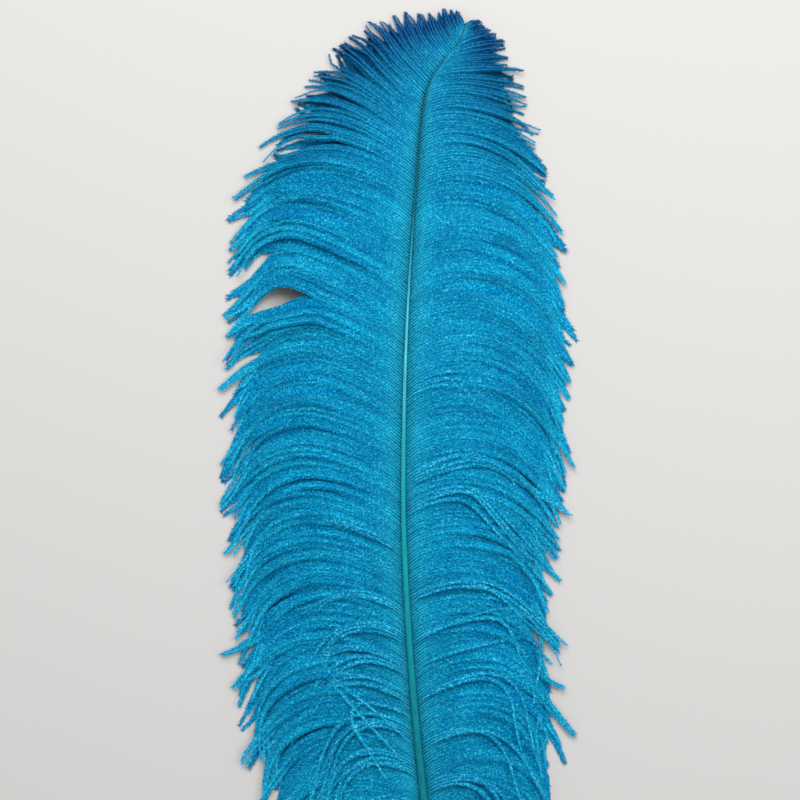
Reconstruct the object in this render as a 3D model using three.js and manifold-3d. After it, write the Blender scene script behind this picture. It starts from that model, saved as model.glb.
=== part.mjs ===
// A dyed ostrich plume, lying on its underside on a flat surface. Millimetres, +Z up.
// The shaft runs along +Y from the bare quill to the curled tip. On both sides of it the vane
// is a row of overlapping locks that leave the shaft slanting towards the tip, arch outwards
// and droop, so that their ends rest on the surface. Quill, shaft and vane grew as one piece.
// The origin is the middle of the plume's outline, on the surface that it lies on.

import * as THREE from 'three';
import { mergeVertices } from 'three/addons/utils/BufferGeometryUtils.js';
import Module from 'manifold-3d';

// The shaft's centre line: sideways, along the plume, and height above the surface.
const SHAFT_LINE = [
  [27, 0, 3], [19, 55, 7.5], [12.4, 110, 13], [5, 185, 22], [0, 272, 30], [0, 350, 33],
  [2.5, 419, 32], [6.8, 482, 27], [12.4, 544, 18.5], [23.6, 567.5, 14], [35, 582, 10.5],
  [38.5, 594, 8.5],
];
// The shaft's thickness: distance along the plume, then diameter.
const SHAFT_THICKNESS = [
  [0, 2.6], [6, 4.6], [25, 6], [110, 5.2], [234, 4], [327, 3], [389, 2.6], [594, 2.4],
];
const SHAFT_SIDES = 8;
const SHAFT_STEPS = 40;

// The locks: distance of the root along the plume, length, the direction along the lock's inner
// part and at its end, in degrees above the line straight out from the shaft, and the share of
// the length at which the lock starts to droop.
const LEFT_LOCKS = [
  [40, 46, 6, -66, 0], [62, 84, 12, -66, 0.05], [110, 126, 18, -64, 0.1],
  [180, 134, 20, -60, 0.12], [210, 130, 18, -58, 0.15], [240, 128, 17, -56, 0.2],
  [270, 128, 18, -54, 0.25], [300, 132, 18, -53, 0.28], [330, 130, 20, -46, 0.28],
  [360, 128, 24, -38, 0.28], [420, 128, 25, -31, 0.28], [450, 128, 22, -33, 0.28],
  [470, 123, 20, -31, 0.25], [485, 116, 20, -26, 0.22], [495, 104, 26, -10, 0.22],
  [505, 95, 33, 4, 0.22], [515, 84, 37, 16, 0.22], [525, 74, 40, 32, 0.22],
  [535, 65, 42, 50, 0.2], [545, 58, 44, 60, 0.2], [555, 51, 47, 68, 0.2],
  [565, 42, 50, 74, 0.2], [575, 31, 54, 78, 0.2], [585, 20, 60, 82, 0.2],
  [594, 9, 78, 84, 0.2],
];
const RIGHT_LOCKS = [
  [40, 42, 0, -68, 0], [62, 74, 8, -68, 0], [110, 108, 15, -70, 0.1],
  [180, 117, 16, -70, 0.15], [210, 114, 10, -64, 0.12], [240, 111, 7, -54, 0.12],
  [270, 112, 6, -50, 0.1], [300, 120, 8, -54, 0.08], [330, 127, 12, -58, 0.05],
  [360, 131, 15, -60, 0.03], [390, 129, 14, -58, 0.03], [420, 123, 10, -52, 0.03],
  [450, 116, 9, -46, 0.03], [470, 111, 6, -44, 0.03], [490, 106, 4, -42, 0.03],
  [505, 99, 3, -40, 0.03], [520, 91, 1, -34, 0.05], [535, 77, 0, -22, 0.1],
  [550, 64, 2, -8, 0.15], [560, 53, 6, 4, 0.2], [570, 40, 14, 12, 0.2],
  [582, 21, 26, 24, 0.2], [594, 8, 40, 36, 0.2],
];
const ROOT_ANGLE = 46;           // degrees, the direction in which a lock leaves the shaft
const ROOT_TURN = 7;             // how soon a lock then turns to its own direction
const DROOP_TO = 0.95;           // share of the length at which the droop is full
const LOCKS_A_SIDE = 30;
const FIRST_ROOT = 42;
const LAST_ROOT = 590;
const TIP_CROWDING = 1.2;        // the roots stand closer together towards the tip
const LOCK_STEPS = 7;
const LOCK_OVERLAP = 1.45;       // lock width over the spacing of the roots
const SHORT_LOCK_WIDTH = 0.46;   // the most that a short lock's width is of its length
const ROOT_WIDTH = 0.6;          // width at the root over the full width
const ROOT_CREST = 0.25;         // height of the crest at the root over its full height
const ROOT_DEPTH = 0.4;          // how far past and below the shaft's middle a lock starts
const RIDGE_HEIGHT = 3.4;        // crest of a lock above its flat underside
const LONGEST_LOCK = 134;
const CROWN = 6;                 // how far the longest lock arches above a straight slope
const LYING_FROM = 0.8;          // from this share of its length on, a lock lies level
const SHINGLE = 1.3;             // each lock's tipward edge dips under its neighbour
const RAGGED = 0.055;            // how far lengths differ from lock to lock
const HANGING_TIP = 3.5;         // height of the tips that don't quite reach the surface
const VARIATION_SEED = 7;
const SHORTEST_EDGE = 0.02;      // slivers shorter than this close up where pieces join

const UP = new THREE.Vector3(0, 0, 1);

const dyedFeather = new THREE.MeshStandardMaterial({
  color: 0x0c8ab8, roughness: 0.75, metalness: 0,
});

// Reads a table whose rows start with a distance along the plume, at any distance.
function readTable(table, distance) {
  const last = table.findIndex((row) => row[0] >= distance);
  if (last === 0) return table[0].slice(1);
  if (last < 0) return table[table.length - 1].slice(1);
  const [low, high] = [table[last - 1], table[last]];
  const share = (distance - low[0]) / (high[0] - low[0]);
  return low.slice(1).map((value, i) => THREE.MathUtils.lerp(value, high[i + 1], share));
}

// A value from -1 to 1 that is always the same for the same lock.
function variation(lock, use) {
  const wave = Math.sin(lock * 12.9898 + use * 78.233 + VARIATION_SEED) * 43758.5453;
  return 2 * (wave - Math.floor(wave)) - 1;
}

function solid(wasm, geometry) {
  geometry.deleteAttribute('normal');
  geometry.deleteAttribute('uv');
  const merged = mergeVertices(geometry, 1e-4);
  return new wasm.Manifold(new wasm.Mesh({
    numProp: 3,
    tolerance: SHORTEST_EDGE,
    vertProperties: Float32Array.from(merged.attributes.position.array),
    triVerts: Uint32Array.from(merged.index.array),
  }));
}

// Bends a plain closed cylinder or cone: corner(step, index) says where each corner of each
// ring goes, and middle(step) where the centre of an end cap or the point of a cone goes.
function sweep(geometry, sides, steps, corner, middle) {
  const places = geometry.attributes.position;
  for (let i = 0; i < places.count; i += 1) {
    const step = Math.round((places.getY(i) + 0.5) * steps);
    const [x, z] = [places.getX(i), places.getZ(i)];
    const onAxis = Math.hypot(x, z) < 1e-6;
    const index = (Math.round((Math.atan2(x, z) / (2 * Math.PI)) * sides) + sides) % sides;
    const place = onAxis ? middle(step) : corner(step, index);
    places.setXYZ(i, place.x, place.y, place.z);
  }
  return geometry;
}

const shaftCurve = new THREE.CatmullRomCurve3(
  SHAFT_LINE.map(([x, y, z]) => new THREE.Vector3(x, y, z)), false, 'centripetal',
);

// The point of the shaft's centre line at a distance along the plume.
function shaftPoint(distance) {
  let [low, high] = [0, 1];
  for (let i = 0; i < 24; i += 1) {
    const middle = (low + high) / 2;
    if (shaftCurve.getPoint(middle).y < distance) low = middle;
    else high = middle;
  }
  return shaftCurve.getPoint(low);
}

// The quill and shaft: a round rod, blunt at the quill's end and thin at the tip.
function shaft() {
  const spread = (step) => step / SHAFT_STEPS;
  const centre = (step) => shaftCurve.getPointAt(spread(step));
  const corner = (step, index) => {
    const middle = centre(step);
    const along = shaftCurve.getTangentAt(spread(step));
    const side = new THREE.Vector3().crossVectors(along, UP).normalize();
    const above = new THREE.Vector3().crossVectors(side, along);
    const angle = (index / SHAFT_SIDES) * 2 * Math.PI;
    const radius = readTable(SHAFT_THICKNESS, middle.y)[0] / 2;
    const place = middle.addScaledVector(side, radius * Math.sin(angle));
    place.addScaledVector(above, radius * Math.cos(angle));
    place.z = Math.max(place.z, 0);
    return place;
  };
  const rod = new THREE.CylinderGeometry(1, 1, 1, SHAFT_SIDES, SHAFT_STEPS);
  return sweep(rod, SHAFT_SIDES, SHAFT_STEPS, corner, centre);
}

// The level direction of a lock at a share of its length.
function lockDirection(side, share, slope, end, droopFrom) {
  const atRoot = (ROOT_ANGLE - slope) * (1 - share) ** ROOT_TURN;
  const drooped = THREE.MathUtils.smoothstep(share, droopFrom, DROOP_TO);
  const angle = THREE.MathUtils.degToRad(slope + atRoot + (end - slope) * drooped);
  return new THREE.Vector3(side * Math.cos(angle), Math.sin(angle), 0);
}

// The stations of one lock's centre line, with the direction of the lock at each.
function lockLine(root, side, length, turns, tipHeight) {
  const stations = [];
  const place = root.clone();
  for (let step = 0; step <= LOCK_STEPS; step += 1) {
    const share = step / LOCK_STEPS;
    const fall = Math.min(share / LYING_FROM, 1);
    const arch = CROWN * 4 * fall * (1 - fall) * (length / LONGEST_LOCK);
    place.z = THREE.MathUtils.lerp(root.z, tipHeight, fall ** 1.5) + arch;
    stations.push({ place: place.clone(), along: lockDirection(side, share, ...turns) });
    const halfWayOn = Math.min(share + 0.5 / LOCK_STEPS, 1);
    place.addScaledVector(lockDirection(side, halfWayOn, ...turns), length / LOCK_STEPS);
  }
  return stations;
}

// One lock: three-cornered in section, with a flat underside and a crest, ending in a point.
// Its root is cut off along the shaft, so that the locks of a side stand edge to edge there.
function lock(side, width, stations, shaftAlong) {
  const corner = (step, index) => {
    const { place, along } = stations[step];
    const share = step / LOCK_STEPS;
    const taper = 1 - share ** 6;
    const crest = RIDGE_HEIGHT * Math.min(1, ROOT_CREST + 3 * share) * taper;
    if (index === 0) return place.clone().addScaledVector(UP, crest);
    const tipward = (index === 2) === (side > 0) ? 1 : -1;
    const across = step === 0 ? shaftAlong
      : new THREE.Vector3().crossVectors(UP, along).multiplyScalar(side);
    const fullness = Math.min(1, ROOT_WIDTH + 1.6 * share) * taper;
    const edge = place.clone().addScaledVector(across, tipward * 0.5 * width * fullness);
    edge.z -= tipward * SHINGLE * Math.sin(Math.PI * Math.min(share / LYING_FROM, 1));
    return edge;
  };
  const middle = (step) => {
    if (step === LOCK_STEPS) return stations[step].place;
    const ring = [0, 1, 2].map((index) => corner(step, index));
    return ring[0].add(ring[1]).add(ring[2]).divideScalar(3);
  };
  return sweep(new THREE.ConeGeometry(1, 1, 3, LOCK_STEPS), 3, LOCK_STEPS, corner, middle);
}

// The distance of a lock's root along the plume.
function rootOf(number, offset) {
  const share = (number + offset) / (LOCKS_A_SIDE - 1);
  const crowded = 1 - (1 - Math.min(share, 1)) ** TIP_CROWDING;
  return THREE.MathUtils.lerp(FIRST_ROOT, LAST_ROOT, crowded);
}

// All the locks of one side of the shaft, side -1 on the left and 1 on the right.
function vane(side, table) {
  const offset = side > 0 ? 0.5 : 0;
  const locks = [];
  for (let number = 0; number < LOCKS_A_SIDE - offset; number += 1) {
    const distance = rootOf(number, offset);
    const spacing = Math.max(rootOf(number + 1, offset) - rootOf(number - 1, offset), 16) / 2;
    const [length, ...turns] = readTable(table, distance);
    const ragged = length * (1 + RAGGED * variation(number, side + 2));
    const tipHeight = number % 3 === 0 ? 0 : HANGING_TIP * (1 + variation(number, side + 5)) / 2;
    const root = shaftPoint(distance);
    const shaftAlong = shaftPoint(distance + 1).sub(shaftPoint(distance - 1)).normalize();
    root.x -= side * ROOT_DEPTH;
    root.z -= ROOT_DEPTH * (1.5 + 0.5 * side + 0.4 * variation(number, side + 8));
    const stations = lockLine(root, side, ragged, turns, tipHeight);
    const width = Math.min(LOCK_OVERLAP * spacing, SHORT_LOCK_WIDTH * length);
    locks.push(lock(side, width, stations, shaftAlong));
  }
  return locks;
}

// Joins the pieces into one body. Small pockets that locks close between them are left solid:
// each is an inner shell of its own, so only the outer shell, the largest, is kept.
function grownTogether(wasm, pieces) {
  const joined = pieces.map((piece) => solid(wasm, piece)).reduce((a, b) => a.add(b));
  return joined.decompose().reduce((a, b) => (a.volume() > b.volume() ? a : b));
}

// The whole plume, with the middle of its outline at the origin.
function ostrichFeather(wasm) {
  const pieces = [shaft(), ...vane(-1, LEFT_LOCKS), ...vane(1, RIGHT_LOCKS)];
  const { vertProperties, triVerts } = grownTogether(wasm, pieces).getMesh();
  const geometry = new THREE.BufferGeometry();
  geometry.setAttribute('position', new THREE.BufferAttribute(vertProperties, 3));
  geometry.setIndex(new THREE.BufferAttribute(triVerts, 1));
  geometry.computeBoundingBox();
  const middle = geometry.boundingBox.getCenter(new THREE.Vector3());
  geometry.translate(-middle.x, -middle.y, 0);
  geometry.computeVertexNormals();
  const mesh = new THREE.Mesh(geometry, dyedFeather);
  mesh.name = 'ostrich_feather';
  return mesh;
}

const wasm = await Module();
wasm.setup();

const plume = new THREE.Group();
plume.add(ostrichFeather(wasm));

export default plume;
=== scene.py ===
import math

import bpy
import numpy as np
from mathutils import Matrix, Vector


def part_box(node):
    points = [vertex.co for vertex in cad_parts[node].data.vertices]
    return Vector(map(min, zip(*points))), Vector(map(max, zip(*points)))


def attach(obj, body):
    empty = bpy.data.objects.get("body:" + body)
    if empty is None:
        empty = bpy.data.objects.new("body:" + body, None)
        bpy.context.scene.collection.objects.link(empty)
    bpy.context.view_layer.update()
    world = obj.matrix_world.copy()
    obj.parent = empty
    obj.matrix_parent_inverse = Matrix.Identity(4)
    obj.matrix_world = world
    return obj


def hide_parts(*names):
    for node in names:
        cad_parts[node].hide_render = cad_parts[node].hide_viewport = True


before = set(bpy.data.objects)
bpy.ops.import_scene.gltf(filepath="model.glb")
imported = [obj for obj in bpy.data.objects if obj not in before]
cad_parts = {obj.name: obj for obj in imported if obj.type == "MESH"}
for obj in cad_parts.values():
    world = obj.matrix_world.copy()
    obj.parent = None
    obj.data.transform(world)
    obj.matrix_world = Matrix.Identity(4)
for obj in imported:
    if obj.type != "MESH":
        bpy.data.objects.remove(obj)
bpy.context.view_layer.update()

# ---------------------------------------------------------------------------------------
# The shaft: the feather's own stem, a hollow horn quill at the foot that narrows into a
# solid, pithy shaft with a furrow underneath. It grew with the barbs and took the same
# dye, but its smooth horn shines and looks greener than the fuzz beside it.

MM = 0.001

# The shaft's middle line in millimetres: sideways, distance from the quill's end, height.
SHAFT_LINE = np.array([
    (27, 0, 3), (19, 55, 7.5), (12.4, 110, 13), (5, 185, 22), (0, 272, 30), (0, 350, 33),
    (2.5, 419, 32), (6.8, 482, 27), (12.4, 544, 18.5), (23.6, 567.5, 14), (35, 582, 10.5),
    (38.5, 594, 8.5),
])
# Distance from the quill's end, then the shaft's width there.
SHAFT_WIDTH = np.array([
    (0, 2.2), (3, 3.6), (9, 5.0), (25, 5.9), (110, 5.0), (234, 3.9), (300, 3.0), (358, 2.2),
    (420, 1.6), (470, 1.15), (544, 0.8), (594, 0.4),
])
SHAFT_SIDES = 18
QUILL_RINGS = [0, 1.2, 3, 6, 9]  # rings around the quill's blunt end
RING_SPACING = 8.0               # millimetres between the other rings
FURROW_FROM = 70                 # the quill below this is round
FURROW_SIDE = 0.45               # the furrow's half width, of the shaft's
FURROW_DEPTH = 0.32              # of the shaft's half height
FURROW_EDGE = 0.25               # how far the flat beside it is cut, of the half height

# The line is measured from the quill's end, and the solid's lowest Y is that end.
QUILL_END_FACE = 0.6             # vertices this near to the lowest Y are the quill's end
QUILL_END_INSET = 0.2
solid_low, _ = (np.array(corner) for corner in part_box("ostrich_feather"))
solid_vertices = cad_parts["ostrich_feather"].data.vertices
quill_end = np.array([v.co for v in solid_vertices
                      if v.co.y < solid_low[1] + QUILL_END_FACE * MM])
LINE_ORIGIN = np.array([
    quill_end[:, 0].mean() - SHAFT_LINE[0, 0] * MM, solid_low[1] + QUILL_END_INSET * MM, 0.0,
])


def smooth_line(points, steps):
    """A smooth line through the points, in small steps, as a table of places."""
    ends = 2 * points[:1] - points[1:2], 2 * points[-1:] - points[-2:-1]
    held = np.concatenate([ends[0], points, ends[1]])
    share = np.linspace(0, 1, steps, endpoint=False)[:, None]
    pieces = []
    for a, b, c, d in zip(held, held[1:], held[2:], held[3:]):
        pieces.append(0.5 * (2 * b + (c - a) * share + (2 * a - 5 * b + 4 * c - d) * share ** 2
                             + (3 * b - a - 3 * c + d) * share ** 3))
    return np.concatenate([*pieces, points[-1:]])


shaft_course = smooth_line(SHAFT_LINE, 40)


def shaft_at(distance):
    """The shaft's middle, in millimetres, at any distance from the quill's end."""
    return np.stack([
        np.interp(distance, shaft_course[:, 1], shaft_course[:, 0]),
        np.asarray(distance, float),
        np.interp(distance, shaft_course[:, 1], shaft_course[:, 2]),
    ], axis=-1)


def to_frame(places):
    """Millimetres along the shaft's line to metres in the frame."""
    return LINE_ORIGIN + np.asarray(places) * MM


def linear(hex_colour):
    """An sRGB hex colour as linear red, green, blue and alpha."""
    parts = [int(hex_colour[i:i + 2], 16) / 255 for i in (1, 3, 5)]
    return [c / 12.92 if c <= 0.04045 else ((c + 0.055) / 1.055) ** 2.4 for c in parts] + [1.0]


def add_node(material, kind, settings=None, links=None):
    """Adds a node. settings go to its properties or its sockets, links to its sockets."""
    node = material.node_tree.nodes.new(kind)
    for name, value in (settings or {}).items():
        if isinstance(name, str) and hasattr(node, name):
            setattr(node, name, value)
        else:
            node.inputs[name].default_value = value
    for socket, source in (links or {}).items():
        material.node_tree.links.new(source, node.inputs[socket])
    return node


def new_material(name):
    """An empty node material and its output."""
    material = bpy.data.materials.new(name)
    material.use_nodes = True
    material.node_tree.nodes.clear()
    return material, material.node_tree.nodes.new("ShaderNodeOutputMaterial")


def colour_steps(node, steps):
    """Sets a colour ramp's steps from (place, hex colour) pairs."""
    ramp = node.color_ramp
    while len(ramp.elements) > 1:
        ramp.elements.remove(ramp.elements[-1])
    ramp.elements[0].position = steps[0][0]
    ramp.elements[0].color = linear(steps[0][1])
    for place, colour in steps[1:]:
        ramp.elements.new(place).color = linear(colour)
    return node


def dyed_horn_with_painted_highlight():
    """Feather horn, grown smooth and dyed in a bath: greener and glossier than the barbs, with
    fine lengthwise streaks where the pith shows through. Its colour along the shaft holds a
    painted highlight, a paler band on the upper stretch, and darkens towards the tip."""
    material, output = new_material("dyed_feather_horn_painted_highlight")
    where = add_node(material, "ShaderNodeTexCoord")
    lengthwise = add_node(material, "ShaderNodeMapping", {"Scale": (1400, 35, 1400)},
                          {"Vector": where.outputs["Object"]})
    streaks = add_node(material, "ShaderNodeTexNoise", {"Scale": 1.0, "Detail": 4.0},
                       {"Vector": lengthwise.outputs[0]})
    tones = colour_steps(add_node(material, "ShaderNodeValToRGB", None,
                                  {"Fac": streaks.outputs["Fac"]}),
                         [(0.3, "#c8d0d0"), (0.5, "#e8ecec"), (0.7, "#ffffff")])
    along = add_node(material, "ShaderNodeSeparateXYZ", None,
                     {"Vector": where.outputs["Object"]})
    # A painted highlight: a paler band along the upper stretch of the shaft. Beyond it the colour
    # darkens towards the tip.
    height = add_node(material, "ShaderNodeMapRange",
                      {"From Min": -0.3, "From Max": 0.3, "To Min": 0.0, "To Max": 1.0},
                      {"Value": along.outputs["Y"]})
    shaft_tone_and_painted_highlight = colour_steps(add_node(material, "ShaderNodeValToRGB", None,
                                 {"Fac": height.outputs[0]}),
                        [(0.0, "#1a8e9a"), (0.2, "#0c7783"), (0.48, "#1498a2"),
                         (0.58, "#2ca9b6"), (0.64, "#4cb8c6"), (0.7, "#42aabc"),
                         (0.75, "#1c7f92"), (0.79, "#064a62"), (0.85, "#033448")])
    dark = add_node(material, "ShaderNodeMix",
                    {"data_type": "RGBA", "blend_type": "MULTIPLY", 0: 1.0},
                    {6: shaft_tone_and_painted_highlight.outputs["Color"], 7: tones.outputs["Color"]})
    bump = add_node(material, "ShaderNodeBump", {"Strength": 0.25, "Distance": 0.0002},
                    {"Height": streaks.outputs["Fac"]})
    surface = add_node(material, "ShaderNodeBsdfPrincipled",
                       {"Roughness": 0.35, "IOR": 1.55, "Specular IOR Level": 0.4,
                        "Specular Tint": linear("#7fe8e8")},
                       {"Base Color": dark.outputs[2], "Normal": bump.outputs[0]})
    material.node_tree.links.new(surface.outputs[0], output.inputs["Surface"])
    return material


def make_shaft():
    """Extrudes a ring along the shaft's line, then presses the furrow into its underside."""
    length = SHAFT_LINE[-1, 1]
    stations = np.concatenate([QUILL_RINGS, np.arange(2 * RING_SPACING, length, RING_SPACING),
                               [length]])
    places = to_frame(shaft_at(stations))
    widths = np.interp(stations, SHAFT_WIDTH[:, 0], SHAFT_WIDTH[:, 1]) * MM
    heading = np.gradient(places, axis=0)
    bpy.ops.object.select_all(action="DESELECT")
    first = Vector(heading[0]).normalized()
    turn = first.to_track_quat("Z", "Y").to_euler()
    bpy.ops.mesh.primitive_circle_add(vertices=SHAFT_SIDES, radius=widths[0] / 2,
                                      fill_type="NGON", location=places[0], rotation=turn)
    shaft = bpy.context.object
    bpy.ops.object.transform_apply(location=True, rotation=True, scale=True)
    bpy.ops.object.mode_set(mode="EDIT")
    bpy.ops.mesh.select_all(action="SELECT")
    for i in range(1, len(places)):
        bpy.ops.mesh.extrude_region_move(
            TRANSFORM_OT_translate={"value": places[i] - places[i - 1]})
        grow = widths[i] / widths[i - 1]
        bpy.ops.transform.resize(value=(grow, grow, grow), center_override=places[i])
    bpy.ops.mesh.select_all(action="SELECT")
    bpy.ops.mesh.normals_make_consistent(inside=False)
    bpy.ops.object.mode_set(mode="OBJECT")
    for vertex in shaft.data.vertices:
        distance = (vertex.co.y - LINE_ORIGIN[1]) / MM
        middle = to_frame(shaft_at(distance))
        half = np.interp(distance, SHAFT_WIDTH[:, 0], SHAFT_WIDTH[:, 1]) * MM / 2
        below = (middle[2] - vertex.co.z) / half
        aside = abs(vertex.co.x - middle[0]) / half
        if distance > FURROW_FROM and below > 0 and aside < FURROW_SIDE:
            vertex.co.z += FURROW_DEPTH * half * (1 - aside / FURROW_SIDE) + FURROW_EDGE * half
    return shaft


shaft = make_shaft()
shaft.name = shaft.data.name = "shaft"
bpy.ops.object.shade_smooth()
shaft.data.materials.append(dyed_horn_with_painted_highlight())
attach(shaft, "root")

# ---------------------------------------------------------------------------------------
# The vane: over nine hundred soft barbs, each a thin springy rib with a fringe of long
# barbules that hook to nothing, so the barbs fall into locks and droop. They grew from
# the shaft's sides, slant towards the tip, arch outwards and hang down at their ends.

# Distance of the root from the quill's end, length in millimetres, the direction along the
# inner part and at the end, in degrees above the line straight out from the shaft, and the
# share of the length at which the barb starts to droop.
LEFT_BARBS = np.array([
    (40, 46, 6, -66, 0.0), (62, 84, 12, -66, 0.05), (110, 126, 18, -64, 0.1),
    (180, 134, 20, -60, 0.12), (210, 130, 18, -58, 0.15), (240, 128, 17, -56, 0.2),
    (270, 128, 18, -54, 0.25), (300, 134, 18, -57, 0.28), (330, 134, 20, -55, 0.28),
    (360, 132, 24, -47, 0.28), (390, 131, 25, -42, 0.36), (420, 131, 27, -37, 0.46),
    (450, 129, 23, -35, 0.4), (470, 123, 20, -32, 0.3), (485, 116, 20, -26, 0.24),
    (495, 109, 26, -10, 0.22), (505, 101, 33, 4, 0.22), (515, 91, 37, 16, 0.22),
    (525, 81, 40, 32, 0.22), (535, 72, 42, 50, 0.2), (545, 63, 44, 60, 0.2),
    (555, 54, 47, 68, 0.2), (565, 44, 50, 74, 0.2), (575, 32, 54, 78, 0.2),
    (585, 20, 60, 82, 0.2), (594, 9, 78, 84, 0.2),
])
RIGHT_BARBS = np.array([
    (40, 42, 0, -68, 0.0), (62, 74, 8, -68, 0.0), (110, 108, 15, -70, 0.1),
    (180, 117, 16, -70, 0.15), (210, 114, 10, -64, 0.12), (240, 111, 7, -54, 0.12),
    (270, 112, 6, -50, 0.1), (300, 120, 8, -54, 0.08), (330, 127, 12, -58, 0.05),
    (360, 131, 15, -60, 0.03), (390, 129, 14, -58, 0.03), (420, 123, 10, -52, 0.03),
    (450, 116, 9, -46, 0.03), (470, 111, 6, -44, 0.03), (490, 106, 4, -42, 0.03),
    (505, 99, 3, -40, 0.03), (520, 91, 1, -34, 0.05), (535, 77, 0, -22, 0.1),
    (550, 64, 2, -8, 0.15), (560, 53, 6, 4, 0.2), (570, 40, 14, 12, 0.2),
    (582, 21, 26, 24, 0.2), (594, 8, 40, 36, 0.2),
])
ROOT_ANGLE = 46                  # degrees, where a barb leaves the shaft
ROOT_TURN = 7                    # how soon it turns from there to its slope, as a power
ROOT_SET_IN = 0.35               # of the shaft's width, from its middle to the roots
DROOP_TO = 0.95                  # share of the length at which the droop is full
BARB_SPACING = 1.9               # millimetres between roots
ARCH_RISE = 6.0                  # how far the longest barb arches above a straight slope
LONGEST_BARB = 134               # of the vane
FALL = 1.5                       # how late a barb sinks to the floor, as a power
LYING_FROM = 0.8                 # from this share of its length on, a barb lies level
LOWEST_RIB = 0.6                 # millimetres above the floor
LOWEST_BARBULE = 0.05
VANE_REACH = 104                 # millimetres from the shaft to the vane's edge
STATIONS = 14                    # places along a barb that its course is worked out for
SHARES = np.linspace(0, 1, STATIONS)
RIB_SIDES = 3
RIB_WIDTH = 0.42                 # at the root
RIB_TAPER = 0.7                  # share of the width that is lost to the end
CROWN_RIB_TAPER = 0.5
DEEP_RIB_TAPER = 0.6
BARBULE_SPACING = 0.30
BARBULE_LENGTH = 4.4
BARBULE_WIDTH = 0.46
BARBULE_SLANT = 14, 64           # degrees from the rib, least and most
BARBULE_TILT = 18                # degrees that they stray from the vane's plane
BARBULE_ROLL = 48                # degrees, at most, that a blade is turned about its length
UNDER_FRINGE = 2.6               # half width of the close fringe under the long barbules

# Places where barbs have parted: side, sideways and distance from the quill's end of the
# middle, half length along the barbs and half height, in millimetres.
PARTINGS = [
    (-1, -78, 422, 23, 7.2), (-1, -95, 441, 11, 4.4), (-1, -80, 484, 9, 1.8),
    (-1, -68, 386, 9, 1.6), (-1, -92, 402, 10, 2.4), (1, 66, 260, 9, 1.8),
    (1, 55, 222, 9, 2.0), (1, 46, 238, 8, 1.5), (-1, -52, 216, 12, 2.2),
    (-1, -55, 524, 11, 1.8),
]

LOOSE_REST = 1.6                 # millimetres that loose barbs lie above the vane
LOOSE_END_HEIGHT = 3.0
# Loose barbs: side, distance of the first root from the quill's end, how many, length in
# millimetres, slope, end direction, and the shares of the length between which they turn.
LOOSE_BARBS = [
    (-1, 98, 4, 96, 10, -70, 0.1, 0.7), (-1, 122, 5, 108, 14, -70, 0.1, 0.7),
    (-1, 146, 4, 120, 12, -62, 0.12, 0.6), (-1, 160, 1, 92, 6, -128, 0.3, 0.6),
    (-1, 168, 4, 124, 14, -64, 0.15, 0.7), (-1, 186, 3, 128, 10, -60, 0.15, 0.55),
    (-1, 192, 2, 138, 4, -138, 0.3, 0.55), (-1, 206, 4, 130, 6, -62, 0.12, 0.6),
    (-1, 224, 3, 134, 10, -58, 0.14, 0.6), (-1, 262, 3, 130, 14, -60, 0.3, 0.8),
    (1, 112, 4, 100, 8, -72, 0.1, 0.7), (1, 140, 3, 104, 12, -66, 0.15, 0.8),
    (1, 170, 2, 112, 14, -84, 0.3, 0.8), (1, 190, 1, 118, 6, -96, 0.55, 0.8),
    (1, 206, 2, 118, 12, -70, 0.4, 0.7), (1, 232, 3, 114, 6, -56, 0.2, 0.7),
    (1, 286, 4, 108, 10, -50, 0.25, 0.55), (1, 302, 5, 114, 12, -36, 0.3, 0.55),
    (1, 358, 4, 120, 2, -56, 0.2, 0.5),
]


def smooth_step(low, high, value):
    """0 below the low value, 1 above the high one and a smooth rise between."""
    share = np.clip((value - low) / (high - low), 0, 1)
    return share * share * (3 - 2 * share)


def part_barbs(side, course):
    """Opens the partings: barbs above one give way upwards and those below downwards."""
    for parting_side, x, y, half_length, half_height in PARTINGS:
        if parting_side != side:
            continue
        aside = course[..., 0] - x
        nearest = np.abs(aside).argmin(axis=1)
        row = np.arange(len(course))
        reached = np.abs(aside[row, nearest]) < half_length
        gap = course[row, nearest, 1] - y
        near = np.exp(-np.abs(gap) / (3.2 * half_height)) * reached
        along = np.clip(1 - (aside / half_length) ** 2, 0, 1)
        course[..., 1] += (np.sign(gap) * near)[:, None] * half_height * along
    return course


def place_courses(side, roots, length, angle, hang, lift):
    """Courses (barbs, stations, 3) in millimetres that start at the roots on the shaft, turn
    by the angles in degrees, sink in a low arch to hang above the floor and are lifted."""
    angle = np.radians(angle)
    step = length[:, None] / (STATIONS - 1)
    course = np.zeros((len(roots), STATIONS, 3))
    course[:, 1:, 0] = side * np.cos((angle[:, 1:] + angle[:, :-1]) / 2) * step
    course[:, 1:, 1] = np.sin((angle[:, 1:] + angle[:, :-1]) / 2) * step
    course[..., :2] = np.cumsum(course[..., :2], axis=1)
    base = shaft_at(roots)
    base[:, 0] += side * ROOT_SET_IN * np.interp(roots, SHAFT_WIDTH[:, 0], SHAFT_WIDTH[:, 1])
    course[..., :2] += base[:, None, :2]
    fall = np.minimum(SHARES / LYING_FROM, 1)
    course[..., 2] = base[:, None, 2] * (1 - fall ** FALL) + hang[:, None] * fall ** FALL
    course[..., 2] += ARCH_RISE * 4 * fall * (1 - fall) * (length[:, None] / LONGEST_BARB)
    course[..., 2] += lift[:, None] * smooth_step(0.05, 0.5, SHARES)
    return course


def turning(slope, end, droop_from, droop_to):
    """Directions along barbs: steep at the root, the slope along the middle, then drooping."""
    drooped = smooth_step(droop_from[:, None], droop_to, SHARES)
    return slope[:, None] + (ROOT_ANGLE - slope)[:, None] * (1 - SHARES) ** ROOT_TURN + (
        (end - slope)[:, None] * drooped)


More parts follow.
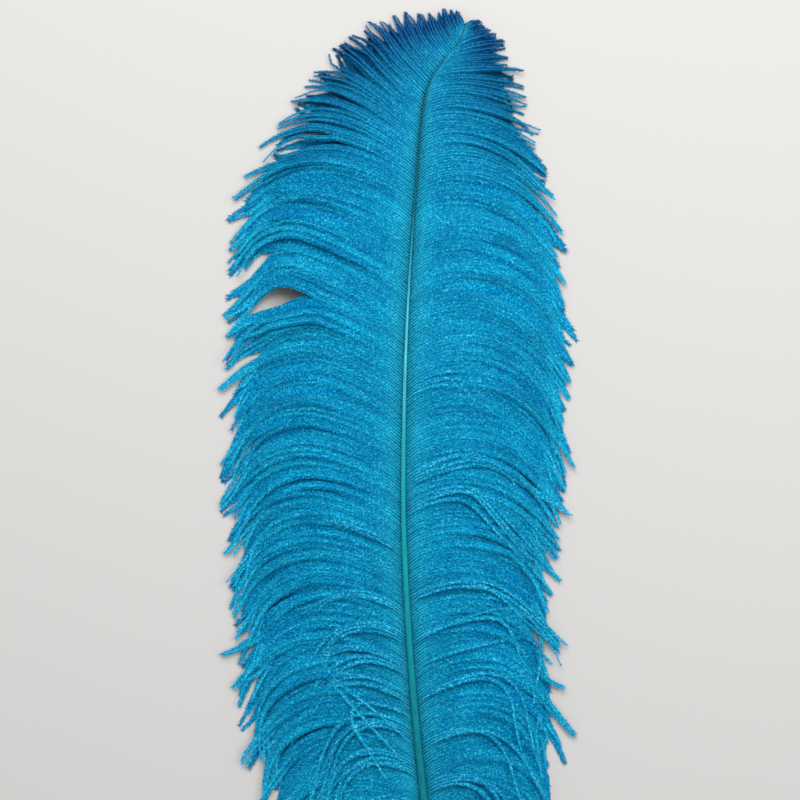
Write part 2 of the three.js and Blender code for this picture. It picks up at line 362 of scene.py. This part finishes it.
def groups(count, fewest, most):
    """Splits a row of barbs into groups: each one's group, its middle barb, and each barb's
    place in the group from -1 to 1."""
    ends = np.cumsum(rng.integers(fewest, most + 1, count))
    group = np.searchsorted(ends, np.arange(count), side="right")
    sizes = np.bincount(group)
    firsts = np.cumsum(sizes) - sizes
    place = (np.arange(count) - firsts[group] + 0.5) / sizes[group] * 2 - 1
    return group, (firsts + sizes // 2)[group], place


def per_group(group, draw):
    """The same random value for all the barbs of a group."""
    return draw(group.max() + 1)[group]


def gathered(course, middle, begins, pull):
    """Draws the barbs towards the middle barb of their group, from a share of their length."""
    gather = pull[:, None] * np.clip((SHARES - begins[:, None]) / (1 - begins[:, None]), 0, 1)
    course[..., :2] += gather[..., None] * (course[middle] - course)[..., :2]
    return course


def barb_courses(side, low, high, spacing, table, in_a_lock, apart, locks, wild, curl=8):
    """The courses of one stretch of barbs: (barbs, stations, 3) in millimetres.

    From the share apart on, the ends of so many barbs in_a_lock gather as strongly as locks
    says, and wild is how far single barbs go their own way. Nearer to their ends two to four
    of them gather again, to the point of a tuft that curls down by so many degrees."""
    count = int(round((high - low) / spacing))
    roots = low + (np.arange(count) + rng.uniform(-0.12, 0.12, count)) * spacing
    length, slope, end, droop_from = (np.interp(roots, table[:, 0], column)
                                      for column in table.T[1:])
    lock, lock_middle, in_lock = groups(count, 2 + in_a_lock // 3, in_a_lock)
    tuft, tuft_middle, in_tuft = groups(count, 2, 4)
    length = length * (1 + per_group(lock, lambda n: rng.uniform(-0.03, 0.03, n))
                       + per_group(tuft, lambda n: rng.uniform(-0.05, 0.04, n))
                       + rng.uniform(-0.05, 0.01, count) - 0.03 * in_tuft ** 2)
    strays = rng.random(count) < 0.04 + 0.06 * wild
    turn = per_group(lock, lambda n: rng.normal(0, 0.3 + 2.5 * wild, n))
    turn += rng.normal(0, 0.8 + 2 * wild, count)
    late_turn = per_group(lock, lambda n: rng.normal(0, 1 + 9 * wild, n))
    late_turn += rng.normal(0, 2 + 4 * wild, count) + np.where(strays, rng.normal(-3, 9, count), 0)
    last_turn = per_group(tuft, lambda n: rng.normal(-curl, 7 + 14 * wild, n))
    angle = turning(slope, end, droop_from, DROOP_TO) + turn[:, None] * SHARES
    angle += late_turn[:, None] * smooth_step(0.3, 1, SHARES)
    angle += last_turn[:, None] * smooth_step(0.65, 1, SHARES)
    lift = per_group(lock, lambda n: rng.uniform(-0.5, 0.5, n)) * (0.1 + 3 * wild)
    lift += rng.normal(0, 0.4, count) + np.where(strays, 2.0, 0)
    course = place_courses(side, roots, length, angle, rng.uniform(0.6, 4.0, count), lift)
    # The middle of a lock stands higher than its sides.
    rounded = (0.2 + 1.4 * wild) * (1 - in_lock ** 2)[:, None]
    course[..., 2] += rounded * smooth_step(0.4, 0.9, SHARES)
    begins = apart + per_group(lock, lambda n: rng.uniform(-0.12, 0.12, n))
    pull = locks * ~strays * per_group(lock, lambda n: rng.uniform(0.4, 1, n))
    course = gathered(course, lock_middle, begins, pull)
    begins = per_group(tuft, lambda n: rng.uniform(0.7, 0.92, n))
    pull = ~strays * per_group(tuft, lambda n: rng.uniform(0.4, 0.9, n))
    course = part_barbs(side, gathered(course, tuft_middle, begins, pull))
    course[..., 2] = np.maximum(course[..., 2], LOWEST_RIB)
    return course


def deep_courses(side, low, high, table, length):
    """Lower barbs that fill the body of the vane under the locks, to a share of the length."""
    shorter = table * (1, length, 1, 1, 1)
    course = barb_courses(side, low, high, 2 * BARB_SPACING, shorter, 2, 0.9, 0.1, 0.05)
    sink = 0.9 + 0.9 * smooth_step(0.05, 0.3, SHARES)
    course[..., 2] = np.maximum(course[..., 2] - sink, LOWEST_RIB)
    return course


def loose_courses(side):
    """Barbs of the lower plume that have come loose and lie across the others."""
    rows = np.array([row[1:] for row in LOOSE_BARBS if row[0] == side])
    in_rows = rows[:, 1].astype(int)
    firsts = np.cumsum(in_rows) - in_rows
    root, _, length, slope, end, turn_from, turn_to = np.repeat(rows, in_rows, axis=0).T
    count = len(root)
    root = root + BARB_SPACING * (np.arange(count) - np.repeat(firsts, in_rows))
    length = length * rng.uniform(0.86, 1.06, count)
    slope = slope + rng.normal(0, 2.5, count)
    end = end + rng.normal(0, 9, count)
    angle = turning(slope, end, turn_from, turn_to[:, None])
    course = place_courses(side, root, length, angle, np.zeros(count), np.zeros(count))
    middle = np.repeat(firsts + in_rows // 2, in_rows)
    course = gathered(course, middle, np.full(count, 0.3), rng.uniform(0.3, 0.8, count))
    # They rest on the vane wherever they lead.
    shaft_there = shaft_at(course[..., 1])
    fall = np.clip(side * (course[..., 0] - shaft_there[..., 0]) / (LYING_FROM * VANE_REACH), 0, 1)
    course[..., 2] = shaft_there[..., 2] * (1 - fall ** FALL) + LOOSE_END_HEIGHT * fall ** FALL
    course[..., 2] += ARCH_RISE * 4 * fall * (1 - fall)
    course[..., 2] += LOOSE_REST * smooth_step(0, 0.1, SHARES)
    course[..., 2] += rng.uniform(0, 0.8, count)[:, None] * SHARES
    return course


def along_and_across(course):
    """Unit directions along, across and above each station of the courses."""
    along = np.gradient(course, axis=1)
    along /= np.linalg.norm(along, axis=2, keepdims=True)
    across = np.cross(along, (0, 0, 1.0))
    across /= np.linalg.norm(across, axis=2, keepdims=True)
    return along, across, np.cross(across, along)


def strips(rings, barb_map, closed):
    """Joins rings of corners (barbs, stations, corners, 3) with faces, as tubes or bands."""
    count, stations, corners = rings.shape[:3]
    number = np.arange(count * stations * corners).reshape(count, stations, corners)
    a, b = number[:, :-1], number[:, 1:]
    if closed:
        c, d = np.roll(b, -1, axis=2), np.roll(a, -1, axis=2)
    else:
        a, b, c, d = a[..., :-1], b[..., :-1], b[..., 1:], a[..., 1:]
    faces = np.stack([np.stack([a, b, c], -1), np.stack([a, c, d], -1)], axis=-2).reshape(-1, 3)
    if closed:
        faces = np.concatenate([faces, number[:, 0], number[:, -1, ::-1]])
    places = rings.reshape(-1, 3)
    places[:, 2] = np.maximum(places[:, 2], LOWEST_BARBULE)
    barb = np.arange(count)[:, None, None] + np.asarray(barb_map)[None, None, :]
    barb = np.broadcast_to(barb, number.shape)
    share = np.broadcast_to(SHARES[None, :, None], number.shape)
    return places, faces, barb.ravel(), share.ravel()


def ribs(course, taper):
    """Three-sided ribs along the courses that lose this share of their width to the end:
    places, faces and their map."""
    _, across, above = along_and_across(course)
    radius = RIB_WIDTH / 2 * (1 - taper * SHARES) * (1 + 0.7 * (1 - smooth_step(0, 0.15, SHARES)))
    radius = radius[None, :, None]
    turns = [2 * math.pi * corner / RIB_SIDES for corner in range(RIB_SIDES)]
    rings = np.stack([course + radius * (math.sin(t) * across + math.cos(t) * above)
                      for t in turns], axis=2)
    return strips(rings, (0.0, 0.06, -0.06), True)


def under_fringe(course, fringe, narrow_from=0.6, drop=0.35, sag=0.30):
    """The close lower barbules, matted into a thin soft band under the ribs (over them where
    the drop is negative) that sags at its edges."""
    _, across, above = along_and_across(course)
    half = UNDER_FRINGE * (0.35 + 0.65 * smooth_step(0, 0.12, SHARES))
    half *= 1 - 0.9 * smooth_step(narrow_from, 1, SHARES)
    half = fringe * half[None, :, None] * rng.uniform(0.8, 1.15, course.shape[:2])[..., None]
    # It starts lower, under the shaft.
    middle = course - drop * above
    middle[..., 2] -= 1.2 * (1 - smooth_step(0.02, 0.1, SHARES))
    edges = [middle + side * half * across - sag * half * above for side in (-1, 1)]
    rings = np.stack([edges[0], middle, edges[1]], axis=2)
    return strips(rings, (-0.45, 0.0, 0.45), False)


def barbules(course, fringe, rise=3):
    """The long fringe on both sides of each rib: thin pointed blades that stand any way, on
    average so many degrees above the vane's plane."""
    along, across, above = along_and_across(course)
    lengths = np.linalg.norm(np.diff(course, axis=1), axis=2).sum(axis=1)
    counts = np.maximum((lengths / BARBULE_SPACING).astype(int), 8)
    barb = np.repeat(np.arange(len(course)), 2 * counts)
    side = np.where(np.arange(len(barb)) % 2, 1.0, -1.0)
    share = np.concatenate([np.repeat(np.linspace(0.01, 1, n), 2) for n in counts])
    share = np.clip(share + rng.uniform(-0.5, 0.5, len(barb)) / counts[barb], 0, 1)
    at = share * (STATIONS - 1)
    low = np.minimum(at.astype(int), STATIONS - 2)
    part = (at - low)[:, None]
    base, ahead, out, up = (table[barb, low] * (1 - part) + table[barb, low + 1] * part
                            for table in (course, along, across, above))
    from_root = smooth_step(0.01, 0.14, share)
    slant = rng.uniform(*BARBULE_SLANT, len(barb)) * (1 - 0.2 * smooth_step(0.3, 0.7, share))
    slant = np.radians(slant)[:, None]
    tilt = np.radians(rng.normal(rise, BARBULE_TILT, len(barb)))[:, None]
    outward = side[:, None] * np.cos(tilt) * out + np.sin(tilt) * up
    ahead = np.cos(slant) * ahead + np.sin(slant) * outward
    reach = BARBULE_LENGTH * fringe * rng.uniform(0.6, 1.15, len(barb))
    reach *= (0.4 + 0.6 * from_root) * (1 - 0.45 * smooth_step(0.75, 1, share))
    flat = np.cross(ahead, up)
    flat /= np.linalg.norm(flat, axis=1, keepdims=True)
    roll = np.radians(rng.uniform(-BARBULE_ROLL, BARBULE_ROLL, len(barb)))[:, None]
    wide = np.cos(roll) * flat + np.sin(roll) * np.cross(ahead, flat)
    wide *= (BARBULE_WIDTH / 2 * rng.uniform(0.7, 1.2, len(barb))
             * (0.4 + 0.6 * from_root))[:, None]
    places = np.stack([base - wide, base + wide, base + reach[:, None] * ahead], axis=1)
    places = places.reshape(-1, 3)
    places[:, 2] = np.maximum(places[:, 2], LOWEST_BARBULE)
    faces = np.arange(len(places)).reshape(-1, 3)
    barbs = np.stack([barb + 0.05 * side, barb + 0.12 * side, barb + 0.45 * side], axis=1)
    shares = np.stack([share, share + 0.004, share + 0.002], axis=1).clip(0, 1)
    return places, faces, barbs.ravel(), shares.ravel()


def joined_mesh(name, layers):
    """One mesh from layers of a material and its (places, faces, barb, share) parts, with a
    map: barb across, share up."""
    parts = [part for _, layer in layers for part in layer]
    offset, places, faces, maps = 0, [], [], []
    barbs = max(part[2].max() for part in parts) + 1
    for part_places, part_faces, barb, share in parts:
        places.append(to_frame(part_places))
        faces.append(part_faces + offset)
        maps.append(np.stack([(barb + 0.5) / (barbs + 0.5), share], axis=1))
        offset += len(part_places)
    places, faces, maps = (np.concatenate(x) for x in (places, faces, maps))
    mesh = bpy.data.meshes.new(name)
    mesh.vertices.add(len(places))
    mesh.vertices.foreach_set("co", places.astype(np.float32).ravel())
    mesh.loops.add(faces.size)
    mesh.loops.foreach_set("vertex_index", faces.astype(np.int32).ravel())
    mesh.polygons.add(len(faces))
    mesh.polygons.foreach_set("loop_start", np.arange(0, faces.size, 3, dtype=np.int32))
    mesh.uv_layers.new(name="OFBake")
    mesh.uv_layers["OFBake"].uv.foreach_set(
        "vector", maps[faces.ravel()].astype(np.float32).ravel())
    for material, _ in layers:
        mesh.materials.append(material)
    in_layers = [sum(len(part[1]) for part in layer) for _, layer in layers]
    slots = np.repeat(range(len(layers)), in_layers)
    mesh.polygons.foreach_set("material_index", slots.astype(np.int32))
    mesh.update(calc_edges=True)
    mesh.validate()
    piece = bpy.data.objects.new(name, mesh)
    bpy.context.collection.objects.link(piece)
    return piece


def dyed_barbs(name, tone_steps, root_colour, worn_colour, crown_colour, roughness):
    """Soft keratin fibre, dyed in a bath: satin, half matt, with single glints, partly painted as
    pale specks. Each barbule and each barb took the dye a little differently, with painted shade
    between the locks; the crown is darker, partly from more dye and partly painted shade."""
    material, output = new_material(name)
    where = add_node(material, "ShaderNodeTexCoord")
    # Tone from barbule to barbule, in patches of about a millimetre: partly random dye, partly
    # painted glints in its palest steps.
    patches = add_node(material, "ShaderNodeTexNoise", {"Scale": 850.0, "Detail": 1.0},
                       {"Vector": where.outputs["Object"]})
    tones = colour_steps(add_node(material, "ShaderNodeValToRGB", None,
                                  {"Fac": patches.outputs["Fac"]}), tone_steps)
    # Tone from barb to barb and from lock to lock: long streaks that follow the barbs, partly
    # random dye and partly painted shade between the locks.
    own = add_node(material, "ShaderNodeUVMap", {"uv_map": "OFBake"})
    stretched = add_node(material, "ShaderNodeMapping", {"Scale": (22, 2.6, 1)},
                         {"Vector": own.outputs[0]})
    streaks = add_node(material, "ShaderNodeTexNoise",
                       {"Scale": 1.0, "Detail": 3.0, "Roughness": 0.6},
                       {"Vector": stretched.outputs[0]})
    lock_tone_and_painted_shade = colour_steps(add_node(material, "ShaderNodeValToRGB", None,
                                   {"Fac": streaks.outputs["Fac"]}),
                          [(0.36, "#b2ccdc"), (0.62, "#ffffff")])
    streaked = add_node(material, "ShaderNodeMix",
                        {"data_type": "RGBA", "blend_type": "MULTIPLY", 0: 1.0},
                        {6: tones.outputs["Color"], 7: lock_tone_and_painted_shade.outputs["Color"]})
    # The horn of the roots took it greener, and the worn ends are paler.
    up_the_barb = add_node(material, "ShaderNodeSeparateXYZ", None, {"Vector": own.outputs[0]})
    greener = colour_steps(add_node(material, "ShaderNodeValToRGB", None,
                                    {"Fac": up_the_barb.outputs["Y"]}),
                           [(0.03, "#a8a8a8"), (0.16, "#202020"), (0.3, "#000000")])
    rooted = add_node(material, "ShaderNodeMix", {"data_type": "RGBA", 7: linear(root_colour)},
                      {0: greener.outputs["Color"], 6: streaked.outputs[2]})
    worn = add_node(material, "ShaderNodeMapRange",
                    {"From Min": 0.55, "From Max": 0.95, "To Min": 0.0, "To Max": 1.0},
                    {"Value": up_the_barb.outputs["Y"]})
    paler = add_node(material, "ShaderNodeMix",
                     {"data_type": "RGBA", "blend_type": "SCREEN", 7: linear(worn_colour)},
                     {0: worn.outputs[0], 6: rooted.outputs[2]})
    # Painted shade, partly with more dye: the crown is darkest, most of all at the outer part of
    # its barbs, where they curl away from the light.
    along = add_node(material, "ShaderNodeSeparateXYZ", None,
                     {"Vector": where.outputs["Object"]})
    height = add_node(material, "ShaderNodeMapRange",
                      {"From Min": 0.17, "From Max": 0.3, "To Min": 0.0, "To Max": 0.9},
                      {"Value": along.outputs["Y"]})
    outward = add_node(material, "ShaderNodeMapRange",
                       {"From Min": 0.0, "From Max": 0.7, "To Min": 0.35, "To Max": 1.3},
                       {"Value": up_the_barb.outputs["Y"]})
    painted_crown_shade = add_node(material, "ShaderNodeMath", {"operation": "MULTIPLY", "use_clamp": True},
                     {0: height.outputs[0], 1: outward.outputs[0]})
    deep = add_node(material, "ShaderNodeMix", {"data_type": "RGBA", 7: linear(crown_colour)},
                    {0: painted_crown_shade.outputs[0], 6: paler.outputs[2]})
    surface = add_node(material, "ShaderNodeBsdfPrincipled",
                       {"Roughness": roughness, "IOR": 1.5, "Specular IOR Level": 0.35,
                        "Specular Tint": linear("#4fd0ff")},
                       {"Base Color": deep.outputs[2]})
    material.node_tree.links.new(surface.outputs[0], output.inputs["Surface"])
    return material


# Stretches of the vane: sides, name, from and to in millimetres from the quill's end,
# millimetres between roots, most barbs in a lock, the share at which locks part, how strongly
# they gather, how wild single barbs are, how many degrees the ends curl, the fringe's length
# and the deep barbs' share of the length.
CROWN_FROM = 488
TIP_SPACING = 1.3
STRETCHES = [
    ((-1, 1), "foot", 42, 130, BARB_SPACING, 7, 0.4, 0.55, 1.0, 8, 1.0, 1.0),
    ((-1, 1), "lower", 130, 240, BARB_SPACING, 7, 0.4, 0.5, 0.8, 8, 0.95, 1.0),
    ((-1, 1), "middle", 240, 350, BARB_SPACING, 8, 0.7, 0.1, 0.14, 8, 0.9, 1.0),
    ((-1, 1), "upper", 350, CROWN_FROM, BARB_SPACING, 8, 0.7, 0.06, 0.08, 10, 0.9, 1.0),
    ((-1,), "crown", CROWN_FROM, 560, BARB_SPACING, 4, 0.25, 0.85, 0.06, 30, 0.66, 0.9),
    ((1,), "crown", CROWN_FROM, 560, BARB_SPACING, 3, 0.5, 0.6, 0.08, 12, 0.66, 0.93),
    ((-1, 1), "tip", 560, 592, TIP_SPACING, 3, 0.4, 0.4, 0.04, 12, 0.66, 0.8),
]
LOOSE_FRINGE = 0.55
DEEP_BAND = 1.2                  # how much wider the deep barbs' matted band is
DEEP_FRINGE = 1.3                # how much longer their barbules are
SEED = 8                         # each piece draws its own random numbers from this
# The under layers take a darker, matt copy of the barb colours: painted shade where they lie below
# the fuzz, darkest in the crown, where it stands for the shade in the gaps between locks.
shaded_barbs = dyed_barbs("dyed_feather_barbs_painted_shade",
                          [(0.34, "#005e8c"), (0.5, "#007cab"), (0.6, "#0c98be"),
                           (0.7, "#28accc")], "#0c8ea8", "#08384c", "#001c40", 0.9)
fuzzy_barbs = dyed_barbs("dyed_feather_barbs_fuzzy",
                         [(0.33, "#0082ae"), (0.5, "#0094be"), (0.6, "#0aaacc"),
                          (0.69, "#48cce4")], "#1cb0c6", "#105c70", "#003a70", 0.45)
# The ribs are painted paler than the fuzz, a painted highlight along each barb; in the crown they
# keep a light colour, painted glints on the ends of its barbs.
highlighted_barb_ribs = dyed_barbs("dyed_feather_barb_ribs_painted_highlight", [(0.38, "#0c98c0"), (0.6, "#48c4dc")],
                       "#3cc8da", "#409cb4", "#44a4cc", 0.35)
loose_barbs = dyed_barbs("dyed_feather_barbs_loose",
                         [(0.36, "#0084b0"), (0.5, "#0298c2"), (0.58, "#18b0d0"),
                          (0.66, "#60d8ec")], "#1cacc2", "#0c4c60", "#004478", 0.45)


def barb_piece(name, deep, upper, fringe, fuzzy, rib_taper):
    """Joins barbs, with both layers of their fringe, to one piece. The close under fringe and the
    deep barbs, which show their ribs and long barbules from below, take the darker copy of the
    barb colours: painted shade."""
    shaded_parts = [under_fringe(upper, fringe)]
    if len(deep):
        shaded_parts += [under_fringe(deep, DEEP_BAND, narrow_from=0.8, drop=-0.25, sag=0.05),
                   ribs(deep, DEEP_RIB_TAPER), barbules(deep, DEEP_FRINGE, rise=-16)]
    piece = joined_mesh(name, [(shaded_barbs, shaded_parts), (fuzzy, [barbules(upper, fringe)]),
                               (highlighted_barb_ribs, [ribs(upper, rib_taper)])])
    piece.data.shade_smooth()
    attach(piece, "root")
    return piece


vane_pieces = []
for side, side_name, table in ((-1, "left", LEFT_BARBS), (1, "right", RIGHT_BARBS)):
    for sides, stretch, low, high, spacing, *lie, fringe, share in STRETCHES:
        if side in sides:
            rng = np.random.default_rng((SEED, len(vane_pieces)))
            deep = deep_courses(side, low, high, table, share)
            upper = barb_courses(side, low, high, spacing, table, *lie)
            taper = CROWN_RIB_TAPER if low >= CROWN_FROM else RIB_TAPER
            vane_pieces.append(barb_piece(f"barbs_{side_name}_{stretch}", deep, upper, fringe,
                                          fuzzy_barbs, taper))
    rng = np.random.default_rng((SEED, len(vane_pieces)))
    vane_pieces.append(barb_piece(f"loose_barbs_{side_name}", [], loose_courses(side),
                                  LOOSE_FRINGE, loose_barbs, RIB_TAPER))
for piece in [shaft, *vane_pieces]:
    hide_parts("ostrich_feather")

# ---------------------------------------------------------------------------------------
# The studio: a plain pale floor, soft light from above and a camera that looks straight
# down on the plume, so that its foot runs out of the view.

PIXEL = 0.62                     # millimetres of plume to one pixel of the picture
PICTURE = 800                    # its width and height in pixels
SHAFT_PIXEL = 404                # the column that the shaft's line stands in
FOOT_DISTANCE = 110              # from the quill's end to where the view cuts the foot
LENS, SENSOR = 85.0, 36.0
PLUME_HEIGHT = 20                # the height that the scale is true at
FLOOR_SIZE = 6                   # metres

bpy.ops.mesh.primitive_plane_add(size=FLOOR_SIZE, location=(0, 0, 0))
floor = bpy.context.object
floor.name = "floor"
floor_paint, floor_output = new_material("matt_pale_floor")
floor_surface = add_node(floor_paint, "ShaderNodeBsdfPrincipled",
                         {"Base Color": linear("#bab8b4"), "Roughness": 0.8})
floor_paint.node_tree.links.new(floor_surface.outputs[0], floor_output.inputs["Surface"])
floor.data.materials.append(floor_paint)

span = PICTURE * PIXEL
aim = to_frame(((PICTURE / 2 - SHAFT_PIXEL) * PIXEL, FOOT_DISTANCE + span / 2, PLUME_HEIGHT))
camera = bpy.data.objects.new("camera", bpy.data.cameras.new("camera"))
camera.data.lens, camera.data.sensor_width = LENS, SENSOR
camera.location = Vector(aim) + Vector((0, 0, span * MM * LENS / SENSOR))
bpy.context.collection.objects.link(camera)
bpy.context.scene.camera = camera


def soft_light(name, place, size, power, target=(0, 0.05, 0)):
    """A square lamp that faces the plume's middle."""
    lamp = bpy.data.objects.new(name, bpy.data.lights.new(name, "AREA"))
    lamp.data.size, lamp.data.energy = size, power
    lamp.location = place
    toward = Vector(target) - Vector(place)
    lamp.rotation_euler = toward.to_track_quat("-Z", "Y").to_euler()
    bpy.context.collection.objects.link(lamp)


soft_light("key", (-0.15, 1.0, 1.35), 1.2, 30)
soft_light("fill", (0.9, 0.3, 1.1), 0.7, 7.5)
world = bpy.data.worlds.new("studio")
world.use_nodes = True
world.node_tree.nodes["Background"].inputs["Color"].default_value = (0.9, 0.93, 1.0, 1)
world.node_tree.nodes["Background"].inputs["Strength"].default_value = 0.55
bpy.context.scene.world = world
bpy.context.scene.view_settings.view_transform = "Standard"
